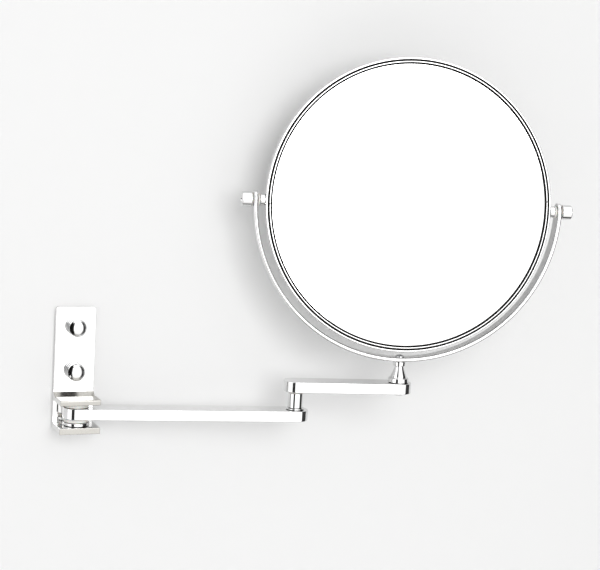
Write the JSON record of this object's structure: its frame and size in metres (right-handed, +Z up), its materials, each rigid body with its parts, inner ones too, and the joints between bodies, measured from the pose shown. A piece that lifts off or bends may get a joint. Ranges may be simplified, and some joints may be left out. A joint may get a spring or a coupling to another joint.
{
  "type": "extendable shaving mirror",
  "caption": "Round double-sided shaving mirror that tilts in a half-round yoke on a two-part swing arm, hinged to a slim wall bracket with two capped screws.",
  "frame": {"origin": "on the bracket's back face, which lies on the wall, midway across it and level with the lower arm", "axes": "+X to the right along the wall, +Y into the wall, +Z up"},
  "size_m": [0.3532, 0.0839, 0.2658],
  "materials": {
    "chrome": "polished chrome plate",
    "mirror_glass": "silvered float glass",
    "nylon": "natural nylon",
    "steel": "plain zinc-plated steel",
    "spring_steel": "spring steel",
    "core_board": "dark board"
  },
  "bodies": {
    "base": {"wall_bracket": "chrome", "wall_screw_upper": "steel", "wall_screw_lower": "steel", "cap_base_upper": "chrome", "cap_base_lower": "chrome", "screw_cap_upper": "chrome", "screw_cap_lower": "chrome", "wall_pivot_pin": "steel", "wall_washer_upper": "nylon", "wall_washer_lower": "nylon", "wall_spacer_ring": "chrome"},
    "arm_lower": {"lower_arm": "chrome", "lower_arm_bush": "nylon", "elbow_foot_ring": "chrome", "elbow_post": "chrome", "elbow_bolt": "steel"},
    "arm_upper": {"upper_arm": "chrome", "elbow_washer": "nylon", "swivel_bell": "chrome", "swivel_spring_washer": "spring_steel", "swivel_nylon_washer": "nylon"},
    "fork": {"yoke": "chrome", "swivel_stem": "chrome", "swivel_screw": "steel", "yoke_screw": "steel", "tilt_washer_left": "nylon", "tilt_washer_right": "nylon"},
    "mirror": {"mirror_hoop": "chrome", "front_bezel": "chrome", "rear_bezel": "chrome", "plain_glass": "mirror_glass", "magnifying_glass": "mirror_glass", "core_board": "core_board", "pivot_boss_left": "chrome", "pivot_boss_right": "chrome"},
    "knob_l": {"knob_left": "chrome", "knob_stud_left": "steel", "knob_washer_left": "nylon"},
    "knob_r": {"knob_right": "chrome", "knob_stud_right": "steel", "knob_washer_right": "nylon"}
  },
  "joints": [
    {"name": "wall_hinge", "type": "hinge", "parent": "base", "child": "arm_lower", "pos_m": [0, -0.013, 0], "axis": [0, 0, 1], "range_deg": [-169, 10]},
    {"name": "elbow_hinge", "type": "hinge", "parent": "arm_lower", "child": "arm_upper", "pos_m": [0.14955, -0.04018, 0], "axis": [0, 0, 1], "range_deg": [-170, 150]},
    {"name": "yoke_swivel", "type": "hinge", "parent": "arm_upper", "child": "fork", "pos_m": [0.22147, -0.05533, 0], "axis": [0, 0, 1], "continuous": true},
    {"name": "mirror_tilt", "type": "hinge", "parent": "fork", "child": "mirror", "pos_m": [0.22147, -0.05533, 0.1499], "axis": [0.9803, -0.1977, 0], "continuous": true},
    {"name": "left_knob_turn", "type": "hinge", "parent": "mirror", "child": "knob_l", "pos_m": [0.22147, -0.05533, 0.1499], "axis": [-0.9803, 0.1977, 0], "range_deg": [0, 180]},
    {"name": "right_knob_turn", "type": "hinge", "parent": "mirror", "child": "knob_r", "pos_m": [0.22147, -0.05533, 0.1499], "axis": [0.9803, -0.1977, 0], "range_deg": [0, 180]}
  ]
}
